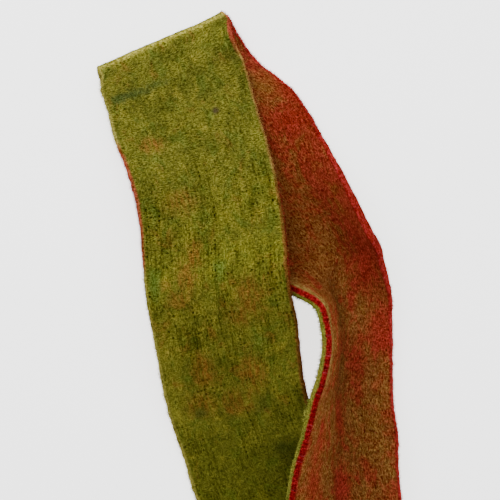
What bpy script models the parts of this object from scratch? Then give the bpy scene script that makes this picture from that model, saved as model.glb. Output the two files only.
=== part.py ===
"""A cut length of thick two-colour felt band, doubled over and lying on a surface.

The band folds over at the far end. The front leg lies over the fold with its green face up, arches
over the raised edge of the back leg and runs down to the surface. The back leg shows its red face.
It turns as it comes forward, so that one edge stands up and leans over the end of the front leg.

Lengths in the tables are in millimetres. +X is to the right, +Y is towards the fold, +Z is up.
"""
import math

import bmesh
import bpy

MM = 0.001

BAND_WIDTH = 75.0
BAND_THICKNESS = 5.0
EDGE_ROUNDING = 1.2       # the cut edges are softened by this much
STATION_SPACING = 6.0     # along the band
CELLS_ACROSS = 12
SECTION_STEPS = 240       # fine steps that a cross-section is summed over
CREASE_BREADTH = 0.30     # share of the width that a crease is rounded over
ORIGIN_X = 3.78           # middle of the whole piece, in the tables' x
ORIGIN_Y = -29.67         # middle of the whole piece, in the tables' y

HALF = BAND_THICKNESS / 2.0
ON_FLOOR = HALF           # height of the middle of the felt where it lies on the surface

# One row for each cross-section of a leg, in order along the band:
#   x, y     middle of the section, seen from above
#   turn     degrees that the section is turned from the X axis
#   low      height of the section's lowest point, at the middle of the felt
#   crease   share of the width that lies left of the crease
#   left     slope of the part left of the crease, in degrees; below 0 its edge stands up
#   right    slope of the part right of the crease, in degrees; above 0 its edge stands up
FRONT_LEG = (
    # x,      y,   turn,      low, crease, left, right
    (28.5, -171.0, 20.0, ON_FLOOR, 0.50, 0, 0),
    (16.5, -138.0, 20.0, ON_FLOOR, 0.50, 0, 0),
    (8.5, -119.0, 20.0, ON_FLOOR, 0.50, 0, 4),
    (0.0, -99.0, 18.5, 3.0, 0.50, 1, 28),
    (-8.2, -72.0, 15.5, 9.5, 0.48, 5, 25),
    (-12.2, -44.0, 11.5, 20.5, 0.50, 8, 15),
    (-17.0, -18.0, 9.0, 26.0, 0.50, 12, 16),
    (-19.5, 9.0, 8.5, 19.5, 0.50, -5, 16),
    (-23.5, 33.0, 10.5, 11.0, 0.50, -15, 8),
    (-32.8, 64.0, 14.0, 8.6, 0.50, -6, 0),
    (-39.4, 87.0, 16.5, 8.8, 0.60, 0, 4),
    (-42.8, 97.0, 19.5, 9.1, 0.70, 0, 18),
)
BACK_LEG = (
    # x,      y,   turn,      low, crease, left, right
    (-39.5, 96.0, 26.0, ON_FLOOR, 0.72, 0, 3),
    (-31.0, 83.0, 29.5, ON_FLOOR, 0.70, 0, 0),
    (-8.6, 62.6, 31.0, ON_FLOOR, 0.70, 0, 6),
    (10.5, 32.0, 31.0, ON_FLOOR, 0.66, 0, 30),
    (24.5, 11.0, 30.0, ON_FLOOR, 0.64, 0, 50),
    (34.7, -5.0, 22.0, ON_FLOOR, 0.62, -16, 58),
    (44.0, -13.4, 14.0, ON_FLOOR, 0.61, -54, 42),
    (54.5, -29.0, 4.0, ON_FLOOR, 0.64, -78, 22),
    (55.8, -47.0, 0.0, ON_FLOOR, 0.67, -80, 14),
    (54.4, -63.0, 0.0, ON_FLOOR, 0.66, -78, 12),
    (52.0, -77.8, -1.0, 4.5, 0.65, -73, 12),
    (51.5, -94.0, -2.0, 7.8, 0.64, -66, 12),
    (50.0, -111.8, -2.0, 8.4, 0.62, -59, 12),
    (49.6, -130.0, -2.0, 8.4, 0.60, -53, 12),
    (49.6, -152.0, -2.0, 8.4, 0.58, -34, 6),
    (50.0, -176.0, -2.0, 8.4, 0.56, 0, 0),
)
X, Y, TURN, LOW, CREASE, LEFT, RIGHT = range(7)

# The fold: a half turn about a line across the band, a little askew to it.
FOLD_X = -43.5
FOLD_Y = 105.1
FOLD_TURN = 23.2
FOLD_SKEW = 9.0
FOLD_RADIUS = 3.5
FOLD_CREASE = 0.75
FOLD_STEPS = 8
DRAWN_FROM = 0.55         # from this share of the width on, the felt is drawn together at the fold
DRAWN_LEFT = 3.6          # how far its right corner moves to the left
DRAWN_OUT = 1.2           # how far that corner stands out past the fold's line
DRAWN_REACH = 12.0        # both fade out this far from the fold
DRAWN_RISE = 3.4          # with the next value: 0 on the back leg, 1 half way up, 0.6 on the front leg
DRAWN_DROP = 2.8

GREEN_FACE = (0.150, 0.145, 0.022, 1.0)
RED_FACE = (0.165, 0.028, 0.010, 1.0)
GREEN_SLOT, RED_SLOT = 0, 1
FELT_ROUGHNESS = 0.95


def clear_scene():
    for item in list(bpy.data.objects):
        bpy.data.objects.remove(item, do_unlink=True)


def fold_rows():
    """The sections round the fold, from the front leg on top down to the back leg."""
    turn = math.radians(FOLD_TURN)
    slide = math.tan(math.radians(FOLD_SKEW)) * FOLD_RADIUS
    rows = []
    for step in range(FOLD_STEPS + 1):
        angle = math.pi / 2.0 - math.pi * step / FOLD_STEPS
        out = FOLD_RADIUS * math.cos(angle)
        x = FOLD_X - out * math.sin(turn) + slide * angle * math.cos(turn)
        y = FOLD_Y + out * math.cos(turn) + slide * angle * math.sin(turn)
        low = ON_FLOOR + FOLD_RADIUS + FOLD_RADIUS * math.sin(angle)
        rows.append((x, y, FOLD_TURN, low, FOLD_CREASE, 0, 0))
    return rows


def row_distance(first, second):
    return math.dist((first[X], first[Y], first[LOW]), (second[X], second[Y], second[LOW]))


def slope_at(before, after, gap_before, gap_after):
    """Slope of a smooth curve that never overshoots the values it passes through."""
    if before * after <= 0.0:
        return 0.0
    weight_before = 2.0 * gap_after + gap_before
    weight_after = gap_after + 2.0 * gap_before
    return (weight_before + weight_after) / (weight_before / before + weight_after / after)


def slopes_of(rows, column):
    gaps = [row_distance(a, b) for a, b in zip(rows, rows[1:])]
    rises = [(b[column] - a[column]) / gap for a, b, gap in zip(rows, rows[1:], gaps)]
    inner = [
        slope_at(rises[i], rises[i + 1], gaps[i], gaps[i + 1])
        for i in range(len(rises) - 1)
    ]
    return [rises[0]] + inner + [rises[-1]]


def blend_value(start, end, start_slope, end_slope, gap, share):
    """Cubic from one row's value to the next one's, with the given slopes at its ends."""
    bend_out = gap * start_slope
    bend_in = gap * end_slope
    rise = end - start
    return (
        start
        + share * bend_out
        + share**2 * (3.0 * rise - 2.0 * bend_out - bend_in)
        + share**3 * (bend_out + bend_in - 2.0 * rise)
    )


def stations(spacing):
    """All the band's sections from end to end, as rows with the tables' columns."""
    rows = list(FRONT_LEG) + fold_rows() + list(BACK_LEG)
    slopes = [slopes_of(rows, column) for column in range(len(rows[0]))]
    result = []
    for i, (start, end) in enumerate(zip(rows, rows[1:])):
        gap = row_distance(start, end)
        steps = max(1, round(gap / spacing))
        for step in range(steps):
            result.append(tuple(
                blend_value(start[c], end[c], slopes[c][i], slopes[c][i + 1], gap, step / steps)
                for c in range(len(start))
            ))
    result.append(rows[-1])
    return result


def section_profile(row):
    """Points (across, up) of one section's line, which is always the band's full width long."""
    points = [(0.0, 0.0)]
    for step in range(SECTION_STEPS):
        share = (step + 0.5) / SECTION_STEPS
        blend = min(1.0, max(0.0, (share - row[CREASE]) / CREASE_BREADTH + 0.5))
        blend = blend * blend * (3.0 - 2.0 * blend)
        slope = math.radians(row[LEFT] + (row[RIGHT] - row[LEFT]) * blend)
        across, up = points[-1]
        length = BAND_WIDTH / SECTION_STEPS
        points.append((across + length * math.cos(slope), up + length * math.sin(slope)))
    middle = points[-1][0] / 2.0
    lowest = min(up for across, up in points)
    return [(across - middle, up - lowest + row[LOW]) for across, up in points]


def drawn_together(row, share):
    """How far a point near the fold's right corner is moved to the left, and out past the fold."""
    away = math.hypot(row[X] - FOLD_X, row[Y] - FOLD_Y) / DRAWN_REACH
    if away >= 1.0 or share <= DRAWN_FROM:
        return 0.0, 0.0
    corner = (share - DRAWN_FROM) / (1.0 - DRAWN_FROM)
    level = (row[LOW] - ON_FLOOR) / (2.0 * FOLD_RADIUS)
    near = (1.0 - away**2) ** 2 * level * (DRAWN_RISE - DRAWN_DROP * level)
    return DRAWN_LEFT * corner**2 * near, DRAWN_OUT * corner**4 * near


def section_points(row, shares):
    """Points of the middle of the felt at the given shares of the width."""
    profile = section_profile(row)
    turn = math.radians(row[TURN])
    points = []
    for share in shares:
        place = share * SECTION_STEPS
        index = min(int(place), SECTION_STEPS - 1)
        part = place - index
        leftward, outward = drawn_together(row, share)
        across = profile[index][0] * (1.0 - part) + profile[index + 1][0] * part - leftward
        up = profile[index][1] * (1.0 - part) + profile[index + 1][1] * part
        x = row[X] + across * math.cos(turn) - outward * math.sin(turn)
        y = row[Y] + across * math.sin(turn) + outward * math.cos(turn)
        points.append((x, y, up))
    return points


def difference(a, b):
    return tuple(p - q for p, q in zip(a, b))


def unit_cross(a, b):
    cross = (
        a[1] * b[2] - a[2] * b[1],
        a[2] * b[0] - a[0] * b[2],
        a[0] * b[1] - a[1] * b[0],
    )
    length = math.hypot(*cross)
    return tuple(value / length for value in cross)


def surface_normal(grid, i, j):
    """Direction out of the green face at one point of the middle of the felt."""
    last_row, last_column = len(grid) - 1, len(grid[0]) - 1
    along = difference(grid[min(i + 1, last_row)][j], grid[max(i - 1, 0)][j])
    across = difference(grid[i][min(j + 1, last_column)], grid[i][max(j - 1, 0)])
    return unit_cross(across, along)


def width_shares():
    """Shares of the width at which a section has points: close together at the rounded edges."""
    edge = EDGE_ROUNDING / BAND_WIDTH
    inner = [edge + (1.0 - 2.0 * edge) * i / CELLS_ACROSS for i in range(CELLS_ACROSS + 1)]
    return [0.0] + inner + [1.0]


def section_ring(grid, i):
    """One closed ring round the felt: the green face, the edge, the red face, the other edge."""
    last = len(grid[i]) - 1
    green, red = [], []
    for j, point in enumerate(grid[i]):
        at_edge = j in (0, last)
        reach = HALF - EDGE_ROUNDING if at_edge else HALF
        normal = surface_normal(grid, i, j)
        green.append(tuple(p + reach * n for p, n in zip(point, normal)))
        red.append(tuple(p - reach * n for p, n in zip(point, normal)))
    return green + red[::-1]


def to_scene(point):
    """Table place in millimetres to scene place in metres, rounded to a thousandth of a millimetre."""
    x, y, z = point
    place = ((x - ORIGIN_X) * MM, (y - ORIGIN_Y) * MM, z * MM)
    return tuple(round(value, 6) for value in place)


def join_rings(mesh, ring, following):
    """Faces between two rings; those between two points of the green face are green."""
    green_points = len(ring) // 2
    for j in range(len(ring)):
        k = (j + 1) % len(ring)
        face = mesh.faces.new((ring[j], ring[k], following[k], following[j]))
        face.material_index = GREEN_SLOT if j < green_points - 1 else RED_SLOT


def close_end(mesh, ring, facing_back):
    """Close one cut end with a strip of faces between its green and its red side."""
    half = len(ring) // 2
    green, red = ring[:half], ring[half:][::-1]
    for j in range(half - 1):
        corners = [green[j], green[j + 1], red[j + 1], red[j]]
        face = mesh.faces.new(corners if facing_back else corners[::-1])
        face.material_index = RED_SLOT


def build_band():
    shares = width_shares()
    grid = [section_points(row, shares) for row in stations(STATION_SPACING)]
    mesh = bmesh.new()
    rings = [
        [mesh.verts.new(to_scene(point)) for point in section_ring(grid, i)]
        for i in range(len(grid))
    ]
    for ring, following in zip(rings, rings[1:]):
        join_rings(mesh, ring, following)
    close_end(mesh, rings[0], False)
    close_end(mesh, rings[-1], True)
    data = bpy.data.meshes.new("felt_band")
    mesh.to_mesh(data)
    mesh.free()
    data.shade_smooth()
    band = bpy.data.objects.new("felt_band", data)
    bpy.context.scene.collection.objects.link(band)
    return band


def felt_material(name, colour):
    material = bpy.data.materials.new(name)
    material.use_nodes = True
    shader = material.node_tree.nodes["Principled BSDF"]
    shader.inputs["Base Color"].default_value = colour
    shader.inputs["Roughness"].default_value = FELT_ROUGHNESS
    shader.inputs["Metallic"].default_value = 0.0
    return material


def main():
    clear_scene()
    band = build_band()
    band.data.materials.append(felt_material("green_felt", GREEN_FACE))
    band.data.materials.append(felt_material("red_felt", RED_FACE))


main()
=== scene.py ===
"""A cut length of thick two-colour needled felt band, doubled over and lying on a pale floor.

The felt is one closed sheet on the frame's folds, with rounded, slightly ragged cut edges and an
uneven needled surface. Loose fibres lie on its faces and stand out from its edges. Its colours,
blotches, needle marks and fine bumps come from one set of nodes, which reads the flat place of
each point: millimetres across the band, along it, and down from the green face.

Lengths in the tables are in millimetres. +X is to the right, +Y is towards the fold, +Z is up.
"""
import math

import bpy
import numpy as np
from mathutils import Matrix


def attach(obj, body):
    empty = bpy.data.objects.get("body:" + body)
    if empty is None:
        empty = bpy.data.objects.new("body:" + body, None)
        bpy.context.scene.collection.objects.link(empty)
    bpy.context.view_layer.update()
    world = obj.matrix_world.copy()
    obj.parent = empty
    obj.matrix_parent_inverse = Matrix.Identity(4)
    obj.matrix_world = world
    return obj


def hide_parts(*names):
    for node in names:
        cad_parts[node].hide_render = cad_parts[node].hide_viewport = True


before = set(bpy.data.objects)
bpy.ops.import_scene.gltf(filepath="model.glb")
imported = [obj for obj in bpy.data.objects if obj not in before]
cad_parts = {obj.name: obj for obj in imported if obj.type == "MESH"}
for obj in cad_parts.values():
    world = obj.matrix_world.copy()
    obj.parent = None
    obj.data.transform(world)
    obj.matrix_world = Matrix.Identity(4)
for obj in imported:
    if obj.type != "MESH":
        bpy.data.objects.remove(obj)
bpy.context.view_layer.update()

MM = 0.001

BAND_WIDTH = 75.0
BAND_THICKNESS = 5.0
HALF = BAND_THICKNESS / 2.0
ON_FLOOR = HALF
SECTION_STEPS = 240       # fine steps that a cross-section is summed over
CREASE_BREADTH = 0.30     # share of the width that a crease is rounded over
ORIGIN_X = 3.78           # middle of the whole piece, in the tables' x
ORIGIN_Y = -29.67         # middle of the whole piece, in the tables' y

# One row for each cross-section of a leg, in order along the band:
#   x, y     middle of the section, seen from above
#   turn     degrees that the section is turned from the X axis
#   low      height of the section's lowest point, at the middle of the felt
#   crease   share of the width that lies left of the crease
#   left     slope of the part left of the crease, in degrees; below 0 its edge stands up
#   right    slope of the part right of the crease, in degrees; above 0 its edge stands up
FRONT_LEG = (
    # x,      y,   turn,      low, crease, left, right
    (28.5, -171, 20, ON_FLOOR, 0.5, 0, 0),
    (16.5, -138, 20, ON_FLOOR, 0.5, 0, 0),
    (8.5, -119, 20, ON_FLOOR, 0.5, 0, 4),
    (0, -99, 18.5, 3, 0.5, 1, 28),
    (-8.2, -72, 15.5, 9.5, 0.48, 5, 25),
    (-12.2, -44, 11.5, 20.5, 0.5, 8, 15),
    (-17, -18, 9, 26, 0.5, 12, 16),
    (-19.5, 9, 8.5, 19.5, 0.5, -5, 16),
    (-23.5, 33, 10.5, 11, 0.5, -15, 8),
    (-32.8, 64, 14, 8.6, 0.5, -6, 0),
    (-39.4, 87, 16.5, 8.8, 0.6, 0, 4),
    (-42.8, 97, 19.5, 9.1, 0.7, 0, 18),
)
BACK_LEG = (
    # x,      y,   turn,      low, crease, left, right
    (-39.5, 96, 26, ON_FLOOR, 0.72, 0, 3),
    (-31, 83, 29.5, ON_FLOOR, 0.7, 0, 0),
    (-8.6, 62.6, 31, ON_FLOOR, 0.7, 0, 6),
    (10.5, 32, 31, ON_FLOOR, 0.66, 0, 30),
    (24.5, 11, 30, ON_FLOOR, 0.64, 0, 50),
    (34.7, -5, 22, ON_FLOOR, 0.62, -16, 58),
    (44, -13.4, 14, ON_FLOOR, 0.61, -54, 42),
    (54.5, -29, 4, ON_FLOOR, 0.64, -78, 22),
    (55.8, -47, 0, ON_FLOOR, 0.67, -80, 14),
    (54.4, -63, 0, ON_FLOOR, 0.66, -78, 12),
    (52, -77.8, -1, 4.5, 0.65, -73, 12),
    (51.5, -94, -2, 7.8, 0.64, -66, 12),
    (50, -111.8, -2, 8.4, 0.62, -59, 12),
    (49.6, -130, -2, 8.4, 0.6, -53, 12),
    (49.6, -152, -2, 8.4, 0.58, -34, 6),
    (50, -176, -2, 8.4, 0.56, 0, 0),
)
X, Y, TURN, LOW, CREASE, LEFT, RIGHT = range(7)

# The fold: a half turn about a line across the band, a little askew to it.
FOLD_X = -43.5
FOLD_Y = 105.1
FOLD_TURN = 23.2
FOLD_SKEW = 9.0
FOLD_RADIUS = 3.5
FOLD_CREASE = 0.75
FOLD_STEPS = 8
DRAWN_FROM = 0.55         # from this share of the width on, the felt is drawn together at the fold
DRAWN_LEFT = 3.6          # how far its right corner moves to the left
DRAWN_OUT = 1.2           # how far that corner stands out past the fold's line
DRAWN_REACH = 12.0        # both fade out this far from the fold
DRAWN_RISE = 3.4          # with the next value: 0 on the back leg, 1 half way up, 0.6 on the front leg
DRAWN_DROP = 2.8

# The fine mesh
CELL = 1.12               # side of the faces
CORNER = 1.1              # rounding of the cut corners
CORNER_STEPS = (0.0, 0.12, 0.36, 0.70, 1.1)
EDGE_DEPTHS = (0.7, 0.0, -0.7)   # points down the cut edge, between its corners

# Unevenness: height, size of its cells across and along, and seed
FACE_WAVES = ((0.32, 17.0, 26.0, 3), (0.16, 3.6, 5.0, 5), (0.13, 1.7, 2.3, 7))
EDGE_WAVES = ((0.30, 9.0, 16.0, 11), (0.15, 9.0, 4.0, 13), (0.22, 9.0, 1.7, 17))
EDGE_ROUGH = (0.16, 4.0, 1.5, 41)   # of the cut edges' own faces, across their depth and along
END_ROUGH = (0.25, 1.6, 4.0, 47)    # of the two ends' faces, across the band and across their depth
DEPTH_SHARE = 9.0         # depth counts this much more than other lengths in both
SIDES_APART = 300.0       # the two faces' noises are taken this far apart
EDGES_APART = 37.0        # and so are the two edges'
ENDS_APART = 400.0        # and the two ends'
END_SHIFT = 50.0          # the ends' noises are also moved this far across
EDGE_BULGE = 0.18         # how far the middle of a cut edge, and of an end, stands out
END_BULGE = 0.15
EDGE_FADE = 5.0           # the cut edge's waviness dies out this far into the band
FACE_FADE = 2.0           # the faces' unevenness dies out this far from a cut edge
FOLD_ALONG = 295.6        # the fold's outermost line
FOLD_TRIM = 0.4           # the sheet keeps back this much there, where fuzz stands out past it
FOLD_TRIM_REACH = 5.0

# Where a cut edge stands out farther than the frame's or keeps back: side, from and to along the
# band, how gradually, and how far
EDGE_TRIMS = (
    (-1, -20, 150, 25, 0.3), (-1, 180, 250, 15, -0.6), (-1, 400, 530, 20, -0.4),
    (-1, 515, 750, 50, 2.8), (1, 405, 475, 20, -0.8), (1, 475, 560, 20, 0.9),
)

# The small dark spot, a shallow pit in the green face near the fold
SPOT_ACROSS = 54.3
SPOT_ALONG = 254.4
SPOT_RADIUS = 1.6
SPOT_DEPTH = 0.6
SPOT_SLOPE = 1.6          # how steep its sides are
SPOT_REACH = 2.0          # it ends at this many radii

MAP_SIDE = 345.0          # millimetres of felt along one side of its flat map
MAP_GAP = 3.0             # between the parts of the map
FELT_TONE = 0.5           # shade of the felt itself, beside that of its fibres

NOISE_TABLE = 1024
NOISE_SHIFT = 100.0       # keeps places left of the band and before its start above 0


def soft_noise(across, along, cell_across, cell_along, seed):
    """Seeded smooth noise from -1 to 1 over flat places in millimetres."""
    table = np.random.default_rng(seed).uniform(-1.0, 1.0, (NOISE_TABLE, NOISE_TABLE))
    u = np.asarray(across) / cell_across + NOISE_SHIFT
    v = np.asarray(along) / cell_along + NOISE_SHIFT
    i = np.floor(u).astype(int)
    j = np.floor(v).astype(int)
    s = u - i
    t = v - j
    s = s * s * (3.0 - 2.0 * s)
    t = t * t * (3.0 - 2.0 * t)
    i0, i1 = i % NOISE_TABLE, (i + 1) % NOISE_TABLE
    j0, j1 = j % NOISE_TABLE, (j + 1) % NOISE_TABLE
    near = table[i0, j0] * (1.0 - s) + table[i1, j0] * s
    far = table[i0, j1] * (1.0 - s) + table[i1, j1] * s
    return near * (1.0 - t) + far * t


def fade(value):
    """Smooth step of a value that is cut to 0 to 1."""
    value = np.clip(value, 0.0, 1.0)
    return value * value * (3.0 - 2.0 * value)


# -------------------- the band's shape

def fold_rows():
    """The sections round the fold, from the front leg on top down to the back leg."""
    turn = math.radians(FOLD_TURN)
    slide = math.tan(math.radians(FOLD_SKEW)) * FOLD_RADIUS
    rows = []
    for step in range(FOLD_STEPS + 1):
        angle = math.pi / 2.0 - math.pi * step / FOLD_STEPS
        out = FOLD_RADIUS * math.cos(angle)
        x = FOLD_X - out * math.sin(turn) + slide * angle * math.cos(turn)
        y = FOLD_Y + out * math.cos(turn) + slide * angle * math.sin(turn)
        low = ON_FLOOR + FOLD_RADIUS + FOLD_RADIUS * math.sin(angle)
        rows.append((x, y, FOLD_TURN, low, FOLD_CREASE, 0, 0))
    return rows


def slopes_through(rises, gaps):
    """Slopes of smooth curves that never overshoot the rows they pass through."""
    before, after = rises[:-1], rises[1:]
    gap_before, gap_after = gaps[:-1, None], gaps[1:, None]
    weight_before = 2.0 * gap_after + gap_before
    weight_after = gap_after + 2.0 * gap_before
    same_way = before * after > 0.0
    safe_before = np.where(same_way, before, 1.0)
    safe_after = np.where(same_way, after, 1.0)
    slope = (weight_before + weight_after) / (weight_before / safe_before + weight_after / safe_after)
    return np.vstack([rises[:1], np.where(same_way, slope, 0.0), rises[-1:]])


class Route:
    """The band's sections at any distance along the tables' rows."""

    def __init__(self):
        self.rows = np.array(list(FRONT_LEG) + fold_rows() + list(BACK_LEG))
        steps = np.diff(self.rows[:, [X, Y, LOW]], axis=0)
        self.gaps = np.sqrt((steps ** 2).sum(axis=1))
        self.starts = np.concatenate([[0.0], np.cumsum(self.gaps)])
        rises = np.diff(self.rows, axis=0) / self.gaps[:, None]
        self.slopes = slopes_through(rises, self.gaps)

    def at(self, distances):
        i = np.clip(np.searchsorted(self.starts, distances, side="right") - 1, 0, len(self.gaps) - 1)
        gap = self.gaps[i][:, None]
        share = ((distances - self.starts[i]) / self.gaps[i])[:, None]
        start, end = self.rows[i], self.rows[i + 1]
        bend_out, bend_in = gap * self.slopes[i], gap * self.slopes[i + 1]
        rise = end - start
        return (
            start
            + share * bend_out
            + share ** 2 * (3.0 * rise - 2.0 * bend_out - bend_in)
            + share ** 3 * (bend_out + bend_in - 2.0 * rise)
        )


def section_profiles(rows):
    """Across and up places along each section's line, which is always the full width long."""
    share = (np.arange(SECTION_STEPS) + 0.5) / SECTION_STEPS
    blend = fade((share[None, :] - rows[:, CREASE:CREASE + 1]) / CREASE_BREADTH + 0.5)
    left, right = rows[:, LEFT:LEFT + 1], rows[:, RIGHT:RIGHT + 1]
    slope = np.radians(left + (right - left) * blend)
    length = BAND_WIDTH / SECTION_STEPS
    start = np.zeros((len(rows), 1))
    across = np.hstack([start, np.cumsum(length * np.cos(slope), axis=1)])
    up = np.hstack([start, np.cumsum(length * np.sin(slope), axis=1)])
    across -= across[:, -1:] / 2.0
    up += rows[:, LOW:LOW + 1] - up.min(axis=1, keepdims=True)
    return across, up


def drawn_together(rows, shares):
    """How far points near the fold's right corner are moved to the left, and out past the fold."""
    away = np.hypot(rows[:, X] - FOLD_X, rows[:, Y] - FOLD_Y) / DRAWN_REACH
    level = (rows[:, LOW] - ON_FLOOR) / (2.0 * FOLD_RADIUS)
    near = np.where(away < 1.0, (1.0 - away ** 2) ** 2, 0.0)
    near = (near * level * (DRAWN_RISE - DRAWN_DROP * level))[:, None]
    corner = np.clip((shares - DRAWN_FROM) / (1.0 - DRAWN_FROM), 0.0, 1.0)[None, :]
    return DRAWN_LEFT * near * corner ** 2, DRAWN_OUT * near * corner ** 4


def middle_of_felt(rows, columns):
    """Points of the middle of the felt, at the given distances from its left edge."""
    across_line, up_line = section_profiles(rows)
    shares = columns / BAND_WIDTH
    place = shares * SECTION_STEPS
    index = np.minimum(place.astype(int), SECTION_STEPS - 1)
    part = place - index
    leftward, outward = drawn_together(rows, shares)
    across = across_line[:, index] * (1.0 - part) + across_line[:, index + 1] * part - leftward
    up = up_line[:, index] * (1.0 - part) + up_line[:, index + 1] * part
    turn = np.radians(rows[:, TURN])[:, None]
    x = rows[:, X:X + 1] + across * np.cos(turn) - outward * np.sin(turn)
    y = rows[:, Y:Y + 1] + across * np.sin(turn) + outward * np.cos(turn)
    return np.stack([x, y, up], axis=-1)


def unit(vectors):
    length = np.sqrt((vectors ** 2).sum(axis=-1, keepdims=True))
    return vectors / np.maximum(length, 1e-12)


def neighbours_apart(grid, axis):
    """Difference between each point's neighbours along one axis of a grid of points."""
    moved = np.moveaxis(grid, axis, 0)
    last = np.concatenate([moved[1:], moved[-1:]])
    first = np.concatenate([moved[:1], moved[:-1]])
    return np.moveaxis(last - first, 0, axis)


def rounded_line(length):
    """Distances from one cut edge to the other: close together at the rounded corners."""
    steps = np.array(CORNER_STEPS)
    cells = round((length - 2.0 * CORNER) / CELL)
    inner = np.linspace(CORNER, length - CORNER, cells + 1)[1:-1]
    return np.concatenate([steps, inner, length - steps[::-1]])


def corner_drop(distance):
    """How much thinner half the felt is, at a distance from a cut edge."""
    inside = np.clip(CORNER - distance, 0.0, CORNER)
    return CORNER - np.sqrt(CORNER ** 2 - inside ** 2)


def edge_sway(along, side):
    """How far a cut edge stands out from its straight line."""
    sway = sum(
        height * soft_noise(np.full_like(along, EDGES_APART * side), along, *cells, seed)
        for height, *cells, seed in EDGE_WAVES
    )
    for trimmed, start, end, soft, amount in EDGE_TRIMS:
        if trimmed == side:
            sway = sway + amount * fade((along - start) / soft) * fade((end - along) / soft)
    return sway


def face_height(across, along, side):
    """Unevenness of one face."""
    return sum(
        height * soft_noise(across + SIDES_APART * side, along, *cells, seed)
        for height, *cells, seed in FACE_WAVES
    )


def spot_drop(across, along):
    away = np.hypot(across - SPOT_ACROSS, along - SPOT_ALONG) / SPOT_RADIUS
    return SPOT_DEPTH * np.where(away < SPOT_REACH, np.exp(-away ** 2 * SPOT_SLOPE), 0.0)


class Band:
    """The felt's whole skin as a grid: one closed ring of points for each station along it."""

    def __init__(self):
        route = Route()
        self.along = rounded_line(route.starts[-1])
        self.columns = rounded_line(BAND_WIDTH)
        middle = middle_of_felt(route.at(self.along), self.columns)
        side_step = neighbours_apart(middle, 1)
        long_step = neighbours_apart(middle, 0)
        self.normal = unit(np.cross(side_step, long_step))
        self.sideways = unit(side_step)
        end_gap = np.minimum(self.along, self.along[-1] - self.along)
        self.end_drop = corner_drop(end_gap)
        self.middle = middle
        self.make_ring()

    def face(self, side):
        """Points of the green face (side 1) or the red face (side -1), and their depths."""
        along = self.along[:, None]
        across = np.broadcast_to(self.columns[None, :], (len(self.along), len(self.columns)))
        edge_gap = np.minimum(self.columns, BAND_WIDTH - self.columns)
        drop = np.maximum(corner_drop(edge_gap)[None, :], self.end_drop[:, None])
        height = face_height(across, along, side)
        if side > 0:
            height = height - spot_drop(across, along)
            height = height - FOLD_TRIM * np.exp(-((along - FOLD_ALONG) / FOLD_TRIM_REACH) ** 2)
        height = height * fade(edge_gap / FACE_FADE)[None, :]
        reach = side * (HALF - drop + height)
        points = self.middle + reach[..., None] * self.normal
        return self.swayed(points), HALF - side * (HALF - drop)

    def edge(self, column, way):
        """Points down one cut edge, from the green side to the red side, and their depths."""
        levels = np.array(EDGE_DEPTHS)
        shrink = 1.0 - self.end_drop / HALF
        depth = levels[None, :] * shrink[:, None]
        middle = self.middle[:, column][:, None, :]
        normal = self.normal[:, column][:, None, :]
        sideways = self.sideways[:, column][:, None, :]
        bulge = EDGE_BULGE * (1.0 - (levels / HALF) ** 2)
        height, *cells, seed = EDGE_ROUGH
        rough = soft_noise(levels[None, :] * DEPTH_SHARE, self.along[:, None], *cells, seed + way)
        out = way * (bulge[None, :] + height * rough + edge_sway(self.along, way)[:, None])
        points = middle + depth[..., None] * normal + out[..., None] * sideways
        return points, HALF - depth

    def swayed(self, points):
        """Moves the parts near the two cut edges with the edges' waviness."""
        for way, gap in ((-1, self.columns), (1, BAND_WIDTH - self.columns)):
            share = fade(1.0 - gap / EDGE_FADE)
            move = way * edge_sway(self.along, way)[:, None] * share[None, :]
            points = points + move[..., None] * self.sideways
        return points

    def make_ring(self):
        green, green_depth = self.face(1)
        red, red_depth = self.face(-1)
        right, right_depth = self.edge(-1, 1)
        left, left_depth = self.edge(0, -1)
        points = np.concatenate([green, right, red[:, ::-1], left[:, ::-1]], axis=1)
        points[..., 2] = np.maximum(points[..., 2], 0.0)
        self.points = points
        self.depth = np.concatenate(
            [green_depth, right_depth, red_depth[:, ::-1], left_depth[:, ::-1]], axis=1,
        )
        levels = len(EDGE_DEPTHS)
        across = np.concatenate([
            self.columns, np.full(levels, BAND_WIDTH), self.columns[::-1], np.zeros(levels),
        ])
        self.across = np.broadcast_to(across[None, :], self.depth.shape)
        self.round_about = self.distances_round()
        forward = neighbours_apart(points, 0)
        around = np.roll(points, -1, axis=1) - np.roll(points, 1, axis=1)
        self.skin_normal = unit(np.cross(around, forward))
        self.forward = unit(forward)
        self.around = unit(around)

    def distances_round(self):
        """Distance round the felt at which each point of a ring lies, ending with the whole way."""
        middle_row = self.points[len(self.points) // 4]
        steps = np.roll(middle_row, -1, axis=0) - middle_row
        return np.concatenate([[0.0], np.cumsum(np.sqrt((steps ** 2).sum(axis=1)))])


def to_scene(points):
    """Table places in millimetres to scene places in metres."""
    return (points - np.array([ORIGIN_X, ORIGIN_Y, 0.0])) * MM


def new_mesh(name, points, faces):
    """A mesh of faces that all have the same number of corners."""
    mesh = bpy.data.meshes.new(name)
    count, corners = faces.shape
    mesh.vertices.add(len(points))
    mesh.vertices.foreach_set("co", points.astype(np.float32).ravel())
    mesh.loops.add(count * corners)
    mesh.loops.foreach_set("vertex_index", faces.astype(np.int32).ravel())
    mesh.polygons.add(count)
    mesh.polygons.foreach_set("loop_start", np.arange(0, count * corners, corners, dtype=np.int32))
    mesh.update(calc_edges=True)
    mesh.validate()
    mesh.shade_smooth()
    return mesh


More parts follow.
